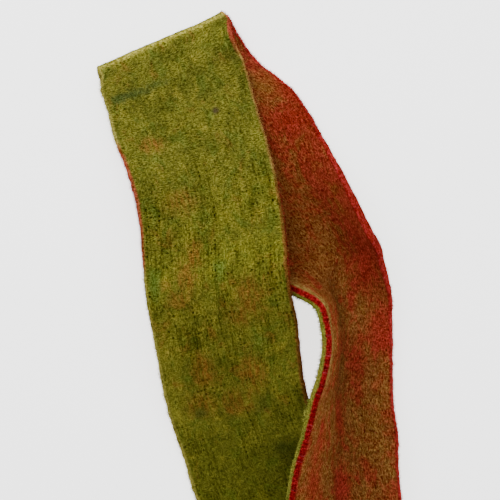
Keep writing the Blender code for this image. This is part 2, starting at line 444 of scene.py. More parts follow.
def add_place(mesh, across, along, depth, tone):
    """Gives each point its flat place in millimetres, and its own shade."""
    place = mesh.attributes.new("felt_place", "FLOAT_VECTOR", "POINT")
    values = np.stack([np.ravel(across), np.ravel(along), np.ravel(depth)], axis=1)
    place.data.foreach_set("vector", values.astype(np.float32).ravel())
    shade = mesh.attributes.new("felt_tone", "FLOAT", "POINT")
    shade.data.foreach_set("value", np.ravel(tone).astype(np.float32))


def add_map(mesh, corners):
    """A flat map for the whole piece; corners is (u, v) of each face corner."""
    layer = mesh.uv_layers.new(name="OFBake")
    layer.uv.foreach_set("vector", corners.astype(np.float32).ravel())


def show(name, mesh):
    piece = bpy.data.objects.new(name, mesh)
    bpy.context.scene.collection.objects.link(piece)
    return piece


def skin_faces(rings, ring_size):
    """Faces between rings, and each face corner's ring and place in the ring."""
    i, j = np.meshgrid(np.arange(rings - 1), np.arange(ring_size), indexing="ij")
    i, j = i.ravel(), j.ravel()
    k = (j + 1) % ring_size
    near, far = i * ring_size, (i + 1) * ring_size
    faces = np.stack([near + j, near + k, far + k, far + j], axis=1)
    corner_ring = np.stack([i, i, i + 1, i + 1], axis=1)
    corner_place = np.stack([j, j + 1, j + 1, j], axis=1)
    return faces, corner_ring, corner_place


def cap_points(band, end):
    """Points inside one cut end, level by level, between its green and its red corner."""
    levels = np.array(EDGE_DEPTHS)
    middle = band.middle[end, 1:-1]
    normal = band.normal[end, 1:-1]
    out = neighbours_apart(band.middle, 0)[end, 1:-1]
    out = unit(out) * (1.0 if end else -1.0)
    across = band.columns[1:-1]
    share = 1.0 - band.end_drop[end] / HALF
    height, *cells, seed = END_ROUGH
    deep = levels[:, None] * DEPTH_SHARE + ENDS_APART * (end + 2)
    rough = height * soft_noise(across[None, :] + END_SHIFT, deep, *cells, seed)
    bulge = END_BULGE + rough
    points = middle[None] + (levels * share)[:, None, None] * normal[None] + bulge[..., None] * out[None]
    depth = np.broadcast_to((HALF - levels * share)[:, None], rough.shape)
    return points, depth


def cap_faces(band, end, first_new):
    """Faces that close one cut end, as rows of point numbers from the green to the red side."""
    ring_size = band.points.shape[1]
    columns, levels = len(band.columns), len(EDGE_DEPTHS)
    ring = (len(band.points) - 1 if end else 0) * ring_size
    green = ring + np.arange(columns)
    right = ring + columns + np.arange(levels)
    red = ring + columns + levels + np.arange(columns)[::-1]
    left = ring + 2 * columns + levels + np.arange(levels)[::-1]
    inner = first_new + np.arange(levels * (columns - 2)).reshape(levels, columns - 2)
    rows = [green]
    rows += [np.concatenate([[left[k]], inner[k], [right[k]]]) for k in range(levels)]
    rows.append(red)
    rows = np.array(rows)
    a, b, c, d = rows[:-1, :-1], rows[:-1, 1:], rows[1:, 1:], rows[1:, :-1]
    order = (a, b, c, d) if end else (d, c, b, a)
    faces = np.stack([part.ravel() for part in order], axis=1)
    u, v = np.meshgrid(np.arange(columns), np.arange(len(rows)), indexing="xy")
    spots = [(0, 0), (0, 1), (1, 1), (1, 0)]
    corners = [(u[:-1, :-1] + right_by, v[:-1, :-1] + down_by) for down_by, right_by in spots]
    if not end:
        corners = corners[::-1]
    return faces, corners


def make_felt(band, material):
    """The felt's skin, in two strips side by side on its map, and its two ends above them."""
    rings, ring_size = band.points.shape[:2]
    faces, corner_ring, corner_place = skin_faces(rings, ring_size)
    half_way = rings // 2
    upper = corner_ring[:, :1] >= half_way
    u = band.round_about[corner_place] + np.where(upper, band.round_about[-1] + MAP_GAP, 0.0)
    v = band.along[corner_ring] - np.where(upper, band.along[half_way], 0.0)
    faces, maps = [faces], [np.stack([u, v], axis=-1).reshape(-1, 2)]
    along = np.repeat(band.along, ring_size)
    parts = [(band.points.reshape(-1, 3), band.across.ravel(), along, band.depth.ravel())]
    made = len(along)
    top = max(band.along[half_way], band.along[-1] - band.along[half_way]) + MAP_GAP
    for end, step in ((0, 0), (-1, 1)):
        points, depth = cap_points(band, end)
        cap, corners = cap_faces(band, end, made)
        cap_u = np.stack([band.columns[c[0]].ravel() for c in corners], axis=1)
        cap_v = np.stack([c[1].ravel() for c in corners], axis=1) * (BAND_THICKNESS / 4.0)
        cap_u = cap_u + step * (BAND_WIDTH + MAP_GAP)
        maps.append(np.stack([cap_u, cap_v + top], axis=-1).reshape(-1, 2))
        faces.append(cap)
        across = np.tile(band.columns[1:-1], len(EDGE_DEPTHS))
        along = np.full(depth.size, band.along[end])
        parts.append((points.reshape(-1, 3), across, along, depth.ravel()))
        made += depth.size
    points, across, along, depth = [np.concatenate(values) for values in zip(*parts)]
    mesh = new_mesh("felt_sheet", to_scene(points), np.concatenate(faces))
    add_place(mesh, across, along, depth, np.full(len(mesh.vertices), FELT_TONE))
    add_map(mesh, np.concatenate(maps) / MAP_SIDE)
    mesh.materials.append(material)
    return show("felt_sheet", mesh)


# -------------------- loose fibres

SIDES = 3
FIBRE_SEED = 20
EDGE_FUZZ = 1.2           # the fibres of a cut edge reach this far onto the faces
BESIDE_EDGE = (0.7, 2.6)  # tufts beside the left edge stand on this strip of the green face
ROOT_DEPTH = 0.12
LOWEST = 0.05             # no fibre reaches nearer to the floor
HALF_WAY_RADIUS = 0.8     # a fibre's thickness half way, as a share of that at its root
ALMOST_UPRIGHT = 0.9
CURL = 0.45               # how much the tip's direction strays from the root's
CURL_DOWN = 0.55          # and how much it bends back to the skin
FEW_STEEP = 1.5           # the more, the fewer fibres stand up steeply
FEW_LONG = 1.7
TUFT_SPREAD = 0.10        # how far apart the fibres of a tuft are rooted
TUFT_SIZE = 7


def habit(lift, length, radius, tone, tone_spread, tuft=1):
    """How fibres grow: degrees from the skin, length, radius, shade with its spread, tuft size."""
    return dict(lift=lift, length=length, radius=radius, tone=(tone, tone_spread), tuft=tuft)


LYING = habit((2, 24), (1.2, 4), (0.04, 0.09), 0.72, 0.42)
# The fuzz and the tufts are far lighter in shade than the felt: partly paler fibre and partly painted
# light, the haze of light through fuzz at the outlines
PALE_AND_LIT_FUZZ = habit((20, 85), (0.8, 3), (0.03, 0.055), 2.1, 0.45)
FUZZ = habit((20, 85), (0.7, 2.6), (0.03, 0.055), 1.4, 0.4)
SHORT_FUZZ = habit((30, 90), (0.4, 1.4), (0.03, 0.05), 1.9, 0.4)
TUFTS = habit((50, 88), (0.9, 2.4), (0.04, 0.065), 1.7, 0.4, TUFT_SIZE)
HAIR = habit((4, 30), (3, 7), (0.025, 0.045), 2, 0.5)
CUT_EDGE = habit((10, 70), (0.5, 1.7), (0.035, 0.065), 0.8, 0.4)

# Each piece's fibres: number, part of the skin, from and to along the band, and habit
FIBRES = {
    "fibres_green_face": ((18900, "green", 0, 300, LYING), (600, "green", 0, 300, HAIR)),
    "fibres_red_face": ((18500, "red", 285, 640, LYING), (1000, "red", 285, 640, HAIR)),
    "fibres_hidden_faces": (
        (5000, "green", 300, 640, LYING), (4000, "red", 0, 285, LYING),
        (800, "green", 294.4, 297, SHORT_FUZZ),
    ),
    "fibres_left_edge": (
        (5500, "left", 0, 290, PALE_AND_LIT_FUZZ), (1000, "green_left", 0, 290, PALE_AND_LIT_FUZZ),
        (7000, "left", 290, 640, CUT_EDGE), (3000, "beside_left", 380, 530, TUFTS),
        (900, "green_left", 530, 640, SHORT_FUZZ),
    ),
    "fibres_right_edge": ((5500, "right", 0, 285, FUZZ), (7500, "right", 285, 640, FUZZ)),
}


def fibre_points(roots, directions, bends, lengths, radii):
    """Points of closed three-sided fibres: a ring at the root, one half way, and a tip."""
    first = directions
    second = unit(directions + bends)
    half = roots + first * (lengths * 0.5)[:, None]
    tip = half + second * (lengths * 0.5)[:, None]
    helper = np.where(np.abs(first[:, 2:3]) < ALMOST_UPRIGHT, [[0.0, 0.0, 1.0]], [[1.0, 0.0, 0.0]])
    one = unit(np.cross(first, helper))
    two = np.cross(first, one)
    angles = 2.0 * math.pi * np.arange(SIDES) / SIDES
    over, beside = np.cos(angles)[None, :, None], np.sin(angles)[None, :, None]
    ring = (over * one[:, None, :] + beside * two[:, None, :]) * radii[:, None, None]
    return np.concatenate([
        roots[:, None, :] + ring,
        half[:, None, :] + HALF_WAY_RADIUS * ring,
        tip[:, None, :],
    ], axis=1)


FIBRE_POINTS = 2 * SIDES + 1
PAIRS = [(side, (side + 1) % SIDES) for side in range(SIDES)]
FIBRE_FACES = np.array(
    [face for a, b in PAIRS for face in ((a, b, SIDES + b), (a, SIDES + b, SIDES + a))]
    + [(SIDES + a, SIDES + b, 2 * SIDES) for a, b in PAIRS] + [(0, 2, 1)]
)
# Each face corner's place in its fibre's own cell of the map, in thirds across and up
FIBRE_MAP = np.array(
    [spot for a in range(SIDES) for spot in ((a, 0), (a + 1, 0), (a + 1, 1), (a, 0), (a + 1, 1), (a, 1))]
    + [spot for a in range(SIDES) for spot in ((a, 1), (a + 1, 1), (a + 0.5, 2))]
    + [(0, 2.2), (1, 2.2), (0.5, 2.9)]
) / 3.0
CELL_FILL = 0.86          # share of a fibre's cell of the map that is used
CELL_MARGIN = 0.07


def make_fibres(name, fibres, material):
    """One piece of many fibres. They come as points, each root's place, and each one's shade."""
    points, across, along, depth, tone = fibres
    count = len(points)
    faces = (np.arange(count)[:, None, None] * FIBRE_POINTS + FIBRE_FACES[None]).reshape(-1, 3)
    mesh = new_mesh(name, to_scene(points.reshape(-1, 3)), faces)
    repeated = [np.repeat(values, FIBRE_POINTS) for values in (across, along, depth, tone)]
    add_place(mesh, *repeated)
    cells = math.ceil(math.sqrt(count))
    corner = np.stack([np.arange(count) % cells, np.arange(count) // cells], axis=1)
    corners = (corner[:, None, :] + CELL_MARGIN + CELL_FILL * FIBRE_MAP[None]) / cells
    add_map(mesh, corners.reshape(-1, 2))
    mesh.materials.append(material)
    return show(name, mesh)


def pick_places(band, rng, count, round_range, along_range):
    """Random places on the skin between two distances round it and two distances along it."""
    first, last = np.searchsorted(band.along, along_range)
    i = first + rng.random(count) * (last - 1 - first)
    distance = round_range[0] + rng.random(count) * (round_range[1] - round_range[0])
    k = np.searchsorted(band.round_about, distance, side="right") - 1
    return i.astype(int), k % band.points.shape[1], i - i.astype(int), rng.random(count)


def within(limits, shares):
    """Values at the given shares of the way between two limits."""
    low, high = limits
    return low + (high - low) * shares


def in_tufts(values, size):
    """The values again, each shared by all the fibres of one tuft."""
    return np.repeat(values[: math.ceil(len(values) / size)], size)[: len(values)]


def grow(band, rng, count, round_range, along_range, lift, length, radius, tone, tuft):
    """Fibres of one habit, rooted on one stretch of the skin."""
    places = pick_places(band, rng, count, round_range, along_range)
    i, k, part_i, part_k = [in_tufts(values, tuft) for values in places]
    ring_size = band.points.shape[1]
    k2 = (k + 1) % ring_size

    def between(values):
        low = values[i, k] * (1.0 - part_k)[:, None] + values[i, k2] * part_k[:, None]
        high = values[i + 1, k] * (1.0 - part_k)[:, None] + values[i + 1, k2] * part_k[:, None]
        return low * (1.0 - part_i)[:, None] + high * part_i[:, None]

    root = between(band.points) + rng.normal(0.0, TUFT_SPREAD, (count, 3)) * (tuft > 1)
    normal = unit(between(band.skin_normal))
    forward = unit(between(band.forward))
    around = unit(np.cross(normal, forward))
    heading = in_tufts(rng.random(count) * 2.0 * math.pi, tuft)
    rise = in_tufts(np.radians(within(lift, rng.random(count) ** FEW_STEEP)), tuft)
    flat = forward * np.cos(heading)[:, None] + around * np.sin(heading)[:, None]
    direction = flat * np.cos(rise)[:, None] + normal * np.sin(rise)[:, None]
    curl = rng.normal(0.0, CURL, (count, 3)) - normal * (CURL_DOWN * np.sin(rise))[:, None]
    lengths = within(length, rng.random(count) ** FEW_LONG)
    radii = within(radius, rng.random(count))
    points = fibre_points(root - normal * ROOT_DEPTH, direction, curl, lengths, radii)
    depth = between(band.depth[..., None])[:, 0]
    across = between(band.across[..., None])[:, 0]
    along = band.along[i] * (1.0 - part_i) + band.along[i + 1] * part_i
    shade = np.maximum(rng.normal(*tone, count), 0.0)
    kept = points[..., 2].min(axis=1) > LOWEST
    return [values[kept] for values in (points, across, along, depth, shade)]


def skin_ranges(band):
    """The stretches round the skin, each as distances from the green face's left corner."""
    last = len(band.columns) - 1
    green_end = band.round_about[last]
    red_start = band.round_about[last + len(EDGE_DEPTHS) + 1]
    red_end = band.round_about[2 * last + len(EDGE_DEPTHS) + 1]
    return {
        "green": (0.0, green_end),
        "right": (green_end - EDGE_FUZZ, red_start + EDGE_FUZZ),
        "red": (red_start, red_end),
        "left": (red_end - EDGE_FUZZ, band.round_about[-1]),
        "green_left": (0.0, EDGE_FUZZ),
        "beside_left": BESIDE_EDGE,
    }


def grow_all(band, material):
    """The pieces of fibres, grown in the order of the table."""
    rng = np.random.default_rng(FIBRE_SEED)
    ranges = skin_ranges(band)
    pieces = []
    for name, groups in FIBRES.items():
        grown = []
        for count, stretch, start, end, kind in groups:
            count = count
            grown.append(grow(band, rng, count, ranges[stretch], (start, end), **kind))
        joined = [np.concatenate(values) for values in zip(*grown)]
        pieces.append(make_fibres(name, joined, material))
    return pieces


# -------------------- nodes

# Noises: cells in millimetres across, along and in depth, shift, detail, roughness and warp.
# The floor's cells are in metres.
NOISES = {
    "grain": (0.75, 0.75, 0.75, 7, 3, 0.65, 0),
    "torn": (1.5, 1.7, 1.5, 149, 3, 0.6, 0),
    "core": (5, 0.65, 6, 163, 3, 0.6, 0),
    "threads": (9, 0.55, 9, 171, 1, 0.5, 0),
    "clumps": (3, 3.6, 2, 29, 3, 0.55, 0.5),
    "crosswise": (1.7, 0.62, 0.7, 3, 4, 0.62, 0.35),
    "lengthwise": (0.62, 1.7, 0.7, 17, 4, 0.62, 0.35),
    "turned": (3.5, 4, 4, 23, 2, 0.5, 0.4),
    "grooves": (0.9, 18, 8, 91, 2, 0.5, 0),
    "furrows": (2.2, 36, 12, 97, 2, 0.5, 0),
    "marked": (15, 24, 10, 71, 2, 0.5, 0),
    "warm": (13, 17, 9, 11, 4, 0.6, 0.6),
    "sunny": (7, 9, 5, 41, 3, 0.6, 0.4),
    "leafy": (9, 12, 6, 63, 3, 0.6, 0.6),
    "blotches": (8, 11, 7, 57, 3, 0.6, 0.5),
    "uneven": (3.5, 5, 4, 77, 2, 0.6, 0),
    "streaks": (1.8, 7, 4, 137, 3, 0.6, 0),
    "cool": (6, 6, 6, 83, 3, 0.55, 0.5),
    "ruddy": (9, 15, 8, 101, 3, 0.6, 0.6),
    "flecks": (2, 3.4, 2, 109, 3, 0.6, 0.3),
    "mossy": (8, 13, 8, 127, 3, 0.6, 0.5),
    "floor": (0.5, 0.5, 0.5, 1, 2, 0.5, 0),
}

# The shift moves a noise across, and this share of it moves the noise along
NOISE_ALONG = 0.7
DOTS_ALONG = 1.3

# Scattered dots: cells in millimetres across, along and in depth, shift, and how scattered
DOTS = {"holes": (2.1, 2.6, 30, 5, 0.36), "gaps": (2.1, 1.9, 2, 9, 1)}

# Ramps: from and to, and the value at each where it isn't 0 and 1
RAMPS = {
    # of noises and dots
    "core": (0.38, 0.58),
    "threads": (0.62, 0.72, 0, 0.5),
    "turned": (0.4, 0.6),
    "holes": (0.13, 0.37, 1, 0),
    "gaps": (0.08, 0.28, 1, 0),
    "grooves": (0.53, 0.68, 0, 0.65),
    "furrows": (0.54, 0.66, 0, 0.5),
    "marked": (0.3, 0.6),
    "warm": (0.36, 0.62),
    "sunny": (0.5, 0.74),
    "leafy": (0.5, 0.7, 0, 0.7),
    "blotches": (0.62, 0.82, 0, 0.5),
    "streaks": (0.38, 0.6, 0.25, 0.85),
    "cool": (0.69, 0.8, 0, 0.6),
    "ruddy": (0.59, 0.82),
    "mossy": (0.52, 0.72, 0, 0.55),
    "patches": (0.7, 1.6),
    "spot": (0.35, 0.6, 0.65, 1),
    "clumps": (0.3, 0.7, 0.88, 1.12),
    "roughness": (0.3, 0.7, 0.86, 1),
    "floor": (0.3, 0.7),
    # of the depth below the green face
    "green_ends": (2.9, 3.8, 1, 0),
    "red_starts": (5.1, 6),
    # of the distance from a cut edge, or from the fold's outermost line
    "pulled": (0.3, 3, 1, 0),
    "inside": (-0.6, 1.2),
    "outer_rim_and_highlight": (0.6, 1.6, 0.55, 0),
    "painted_fold_highlight": (1.2, 2.6, 0.6, 0),
    # across the band
    "ruddy_right": (35, 74, -0.08, 0.2),
    "beside_wall": (6, 18, 0.6, 0),
    # along the band
    "front_end": (105, 50, 0, 0.15),
    "blotched_from": (235, 150, -0.06, 0),
    "deeper_from": (230, 110),
    "marked_from": (270, 190, 0.35, 1),
    "strands_turn": (250, 130, -0.1, 0.02),
    "contrast": (90, 210, 0.8, 1.12),
    "back_leg": (296, 306),
    "ruddy_to": (430, 490, 1, 0),
    "mossy_from": (440, 540, -0.05, 0.02),
}


# The Mix node repeats the names of its sockets, so they go by number: its inputs, then its output
MIX_COLOURS = ((0, 6, 7), 2)
MIX_NUMBERS = ((0, 2, 3), 0)


class Nodes:
    """Short names for the nodes of one material."""

    def __init__(self, name):
        self.material = bpy.data.materials.new(name)
        self.material.use_nodes = True
        self.tree = self.material.node_tree
        self.shader = self.tree.nodes["Principled BSDF"]
        self.place = None

    def new(self, kind):
        return self.tree.nodes.new("ShaderNode" + kind)

    def put(self, socket, value):
        if hasattr(value, "is_output"):
            self.tree.links.new(value, socket)
        else:
            socket.default_value = (*value, 1.0) if socket.type == "RGBA" else value

    def fill(self, node, names, values):
        for name, value in zip(names, values):
            self.put(node.inputs[name], value)

    def maths(self, operation, first, second=0.0, third=None):
        node = self.new("Math")
        node.operation = operation
        self.fill(node, range(3), (first, second) if third is None else (first, second, third))
        return node.outputs[0]

    def plus(self, first, second):
        return self.maths("ADD", first, second)

    def minus(self, first, second):
        return self.maths("SUBTRACT", first, second)

    def times(self, first, second):
        return self.maths("MULTIPLY", first, second)

    def times_plus(self, first, second, third):
        return self.maths("MULTIPLY_ADD", first, second, third)

    def larger(self, first, second):
        return self.maths("MAXIMUM", first, second)

    def ramp(self, value, low, high, at_low=0.0, at_high=1.0):
        node = self.new("MapRange")
        node.interpolation_type = "SMOOTHSTEP"
        names = ("Value", "From Min", "From Max", "To Min", "To Max")
        self.fill(node, names, (value, low, high, at_low, at_high))
        return node.outputs["Result"]

    def shown(self, name, value):
        """A value put through one of the table's ramps."""
        return self.ramp(value, *RAMPS[name])

    def mixed(self, kind, sockets, values):
        inputs, output = sockets
        node = self.new("Mix")
        node.data_type = kind
        self.fill(node, inputs, values)
        return node, node.outputs[output]

    def mix(self, share, first, second, kind="MIX"):
        """A colour between two colours."""
        node, result = self.mixed("RGBA", MIX_COLOURS, (share, first, second))
        node.blend_type = kind
        return result

    def blend(self, share, first, second):
        """A number between two numbers."""
        return self.mixed("FLOAT", MIX_NUMBERS, (share, first, second))[1]

    def stretched(self, cells, shift):
        """The place in cells, moved so that two textures don't repeat each other."""
        node = self.new("Mapping")
        scale = tuple(1.0 / cell for cell in cells)
        self.fill(node, ("Vector", "Scale", "Location"), (self.place, scale, shift))
        return node.outputs[0]

    def noise(self, name):
        *cells, shift, detail, rough, warp = NOISES[name]
        node = self.new("TexNoise")
        place = self.stretched(cells, (shift, shift * NOISE_ALONG, 0.0))
        names = ("Vector", "Scale", "Detail", "Roughness", "Distortion")
        self.fill(node, names, (place, 1.0, detail, rough, warp))
        return node.outputs[0]

    def cloud(self, name):
        """A noise put through the ramp of the same name."""
        return self.shown(name, self.noise(name))

    def dots(self, name):
        """1 in scattered dots, by the ramp of the same name, and 0 between them."""
        *cells, shift, scattered = DOTS[name]
        node = self.new("TexVoronoi")
        place = self.stretched(cells, (shift, shift * DOTS_ALONG, 0.0))
        self.fill(node, ("Vector", "Scale", "Randomness"), (place, 1.0, scattered))
        return self.shown(name, node.outputs["Distance"])


WHITE = (1.0, 1.0, 1.0)
DARK_OLIVE = (0.078, 0.079, 0.009)
OLIVE = (0.122, 0.117, 0.014)
STRAW = (0.165, 0.146, 0.018)
TAN = (0.168, 0.070, 0.012)
SEA_GREEN = (0.026, 0.050, 0.012)
LEAF_GREEN = (0.070, 0.092, 0.011)
FRESH_GREEN = (0.064, 0.104, 0.014)
DEEP_GREEN = (0.040, 0.050, 0.008)
RIM_STRAW = (0.250, 0.215, 0.040)
RIM_TAN = (0.340, 0.180, 0.045)
# The next colour is a painted highlight along the fold
FOLD_HIGHLIGHT = (0.310, 0.275, 0.045)
RIM_ROSE_AND_HIGHLIGHT = (0.290, 0.024, 0.016)
RIM_RUST = (0.270, 0.058, 0.024)
RIM_RED = (0.230, 0.030, 0.018)
HAZEL = (0.150, 0.098, 0.022)
RIM_MAROON = (0.150, 0.045, 0.012)
BROWN = (0.130, 0.041, 0.009)
BRICK = (0.166, 0.020, 0.008)
DEEP_BRICK = (0.178, 0.014, 0.007)
MOSS = (0.124, 0.051, 0.009)
CORE_RED = (0.190, 0.006, 0.006)
CORE_DARK = (0.085, 0.002, 0.002)
CORE_PALE = (0.270, 0.035, 0.036)
DEEPER = (1.0, 0.97, 0.82)
SPOT_BROWN = (0.035, 0.018, 0.012)

# Rims of the green face: side, from and to along the band, breadth, strength and colour
RIM_FADE = 5.0            # how gradually a rim starts and ends along the band
RIM_FROM = 0.2            # across, it fades out from its breadth and this much more
RIM_TO = 1.6              # to its breadth and this much more
RIMS = (
    ("left", 246, 345, 1.3, 0.6, RIM_STRAW),
    ("left", 176, 248, 1, 0.9, RIM_RUST),
    # The straw rim of the front leg's left edge is partly paler fibre and partly painted light: the lit
    # cut edge and its haze
    ("left", -10, 176, 1.2, 0.7, RIM_STRAW),
    ("right", 215, 281, 0.5, 0.7, RIM_TAN),
    ("right", 281, 300, 1.2, 0.85, RIM_RED),
    ("right", -10, 215, 0.7, 0.75, RIM_MAROON),
)

# Painted light and shade: stretches of the band that are made lighter or darker, from and to along it,
# and how much. They lighten two stretches of the back leg, one where the front leg's shade falls on it,
# and paint lighter and darker stretches along the front leg.
PAINTED_LIGHT_AND_SHADE = (
    (-50, 60, -0.04), (75, 135, 0.15), (150, 215, -0.07), (322, 350, 0.4), (460, 700, 0.24),
)
PAINTED_LIGHT_AND_SHADE_FADE = 25.0

# Where the green fibres reach farther down a cut edge, or fall short: side, from, to, and how much
PULLED_OVER = (
    ("left", 250, 340, 3.5), ("left", 176, 246, -1), ("left", -20, 176, 2.5),
    ("right", 300, 700, -2.8),
)

# Patches: colour, how far it is mixed in, then for each its place across and along, half its breadth
# and half its length, and strength. The first four are in the green face, the others in the red one.
PATCHES = {
    "tan": (TAN, 1, (
        (16.8, 244.1, 6, 4, 0.8), (24, 210.5, 9, 7, 0.6), (22, 168, 5, 11, 0.6),
        (27, 178, 4, 9, 0.75), (54, 156, 6, 9, 0.8), (47, 148, 7, 6, 0.7),
        (22.4, 122, 5, 9, 0.9), (49, 114, 7, 9, 0.85), (17.9, 104, 8, 7, 0.6),
        (34.6, 100.8, 7, 7, 0.65),
    )),
    "fresh": (FRESH_GREEN, 0.7, (
        (40.3, 171.3, 3.5, 5, 0.8), (5.6, 168, 3, 7, 0.9), (55, 130, 5, 7, 0.6),
    )),
    "dark": (DEEP_GREEN, 0.8, (
        (15.7, 99.6, 3.5, 2.5, 0.8), (52.6, 69.4, 4, 4, 0.7), (50, 96, 5, 6, 0.5),
    )),
    "sea": (SEA_GREEN, 0.65, (
        (8.5, 273.8, 5, 2.4, 1), (18, 274, 8, 2.4, 0.75), (28, 275.5, 8, 2, 0.5),
    )),
    "red": (DEEP_BRICK, 0.85, (
        (70, 484, 7, 11, 0.95), (57, 500, 5, 13, 0.7), (41, 531, 5, 10, 0.85),
        (42, 567, 6, 12, 0.9), (17, 538, 5, 10, 0.6), (73, 354, 4, 10, 0.9),
        (66, 371, 8, 7, 0.85), (14, 562, 7, 13, 0.7), (64, 450, 9, 16, 0.75),
    )),
    "moss": (MOSS, 0.5, (
        (60, 538, 9, 12, 0.85), (72, 516, 5, 11, 0.7), (44, 481, 6, 9, 0.6),
        (64, 347, 8, 10, 0.95),
    )),
}

# The mossy and the hazel stretch of the back leg: from, to, and how gradually
MOSSY_STRETCH = (300, 365, 15)
MOSSY_MORE = 0.08
WALL_STRETCH = (395, 515, 15)

# The bump of the fine strands
BUMP_STRENGTH = 0.75
BUMP_DISTANCE = 0.00045
CLUMP_HEIGHT = 0.8                # beside the strands' own height
MARK_DEPTH = 0.8

GAPS_SHARE = 0.65                 # how dark and deep the small gaps are beside the needle holes
RED_TURN = 0.12                   # more lengthwise strands on the red face
SPOT_SOFT = 0.8                   # of the dark spot's radius
SPOT_SHARE = 0.9                  # how far its colour is mixed in

# Shade of the strands and of the grain: from and to, then the darkest and the lightest, each on the
# red face and on the green one
STRAND_SHADE = (0.34, 0.66, (0.38, 0.42), (1.68, 1.65))
GRAIN_SHADE = (0.30, 0.70, (0.56, 0.72), (1.44, 1.28))
# Shade by the marks and by a fibre's own shade: a factor, and what is added
MARK_SHADE = (-0.76, 1.145)
TONE_SHADE = (0.9, 0.55)
# How much the shade changes red, green and blue, on the red face and on the green one
COLOUR_SHARES = ((0.72, 1.0), (1.25, 1.0), (1.7, 1.6))
DEEPEST = 0.1                     # and the least that is left of each

# How much of a finer noise, in millimetres, breaks the outline of a coarser form
TORN_DEPTH = 2.2
TORN_INSIDE = -1.6
RIM_GRAIN = 1.6
OUTER_GRAIN = 1.2
FOLD_GRAIN = 2.0
WALL_FLECKS = 8.0
# The same for clouds and patches, as a share
BLOTCH_GRAIN = 0.2
CLOUD_GRAIN = 0.10
CLOUD_FLECKS = 0.25
PATCH_FINE = 0.8
PATCH_UNEVEN = 0.6
PATCH_GRAIN = 1.3


def felt_attributes(n):
    """Gives n the flat place of each point, its three parts, its own shade, and the fine grain."""
    place = n.new("Attribute")
    place.attribute_name = "felt_place"
    tone = n.new("Attribute")
    tone.attribute_name = "felt_tone"
    parts = n.new("SeparateXYZ")
    n.place = place.outputs["Vector"]
    n.put(parts.inputs[0], n.place)
    n.across, n.along, n.depth = parts.outputs
    n.tone = tone.outputs["Fac"]
    n.grain = n.noise("grain")


def from_edge(n, side):
    """Distance from the left or the right cut edge."""
    return n.across if side == "left" else n.minus(BAND_WIDTH, n.across)


def stretch_of(n, start, end, soft=RIM_FADE):
    """1 between two distances along the band, and 0 elsewhere."""
    started = n.ramp(n.along, start - soft, start + soft)
    return n.minus(started, n.ramp(n.along, end - soft, end + soft))


def felt_strands(n, lengthwise_share):
    """Strands that lie across and along the band in turn, with small gaps between them."""
    turned = n.shown("turned", n.plus(n.noise("turned"), lengthwise_share))
    return n.blend(turned, n.noise("crosswise"), n.noise("lengthwise"))


def needle_marks(n):
    """Rows of soft needle holes and furrows along the band, and smaller gaps anywhere."""
    rows = n.plus(n.larger(n.dots("holes"), n.cloud("grooves")), n.cloud("furrows"))
    marked = n.times(n.cloud("marked"), n.shown("marked_from", n.along))
    return n.larger(n.times(rows, marked), n.times(n.dots("gaps"), GAPS_SHARE))


def near_spot(n, spot, soft):
    """1 in the middle of an oval spot, 0 outside it."""
    middle_across, middle_along, half_across, half_along = spot
    u = n.maths("DIVIDE", n.minus(n.across, middle_across), half_across)
    v = n.maths("DIVIDE", n.minus(n.along, middle_along), half_along)
    away = n.maths("SQRT", n.plus(n.times(u, u), n.times(v, v)))
    return n.ramp(away, 1.0 - soft, 1.0 + soft, 1.0, 0.0)


def patched(n, colour, name, fine, share=None):
    """A colour with the soft patches of one name, whose outlines a fine noise breaks."""
    patch_colour, usual_share, places = PATCHES[name]
    found = 0.0
    for *oval, strength in places:
        found = n.larger(found, n.times(near_spot(n, oval, 1.0), strength))
    uneven = n.times(n.times_plus(fine, PATCH_FINE, n.grain), PATCH_UNEVEN)
    inside = n.shown("patches", n.times_plus(uneven, PATCH_GRAIN, found))
    return n.mix(n.times(inside, usual_share if share is None else share), colour, patch_colour)


def green_face(n):
    # Darker and deeper in colour towards the front end, with fewer warm and sunny fibres: partly the
    # felt's own colour and partly painted shade
    front_end = n.shown("front_end", n.along)
    green = n.mix(n.shown("warm", n.minus(n.noise("warm"), front_end)), DARK_OLIVE, OLIVE)
    green = n.mix(n.shown("sunny", n.minus(n.noise("sunny"), front_end)), green, STRAW)
    green = n.mix(n.cloud("leafy"), green, LEAF_GREEN)

    # Red-brown fibres show through, fewest near the fold and at the front end
    blotches = n.plus(n.noise("blotches"), n.shown("blotched_from", n.along))
    blotches = n.times_plus(n.grain, BLOTCH_GRAIN, n.minus(blotches, front_end))
    green = n.mix(n.shown("blotches", blotches), green, TAN)
    uneven = n.noise("uneven")
    green = patched(n, green, "tan", uneven, n.cloud("streaks"))
    green = patched(n, green, "fresh", uneven)
    green = patched(n, green, "dark", uneven)
    green = n.mix(n.cloud("cool"), green, SEA_GREEN)
    green = patched(n, green, "sea", uneven)
    # Deeper towards the front end too, partly painted shade
    deeper = n.mix(n.shown("deeper_from", n.along), WHITE, DEEPER)
    return n.mix(1.0, green, deeper, "MULTIPLY")


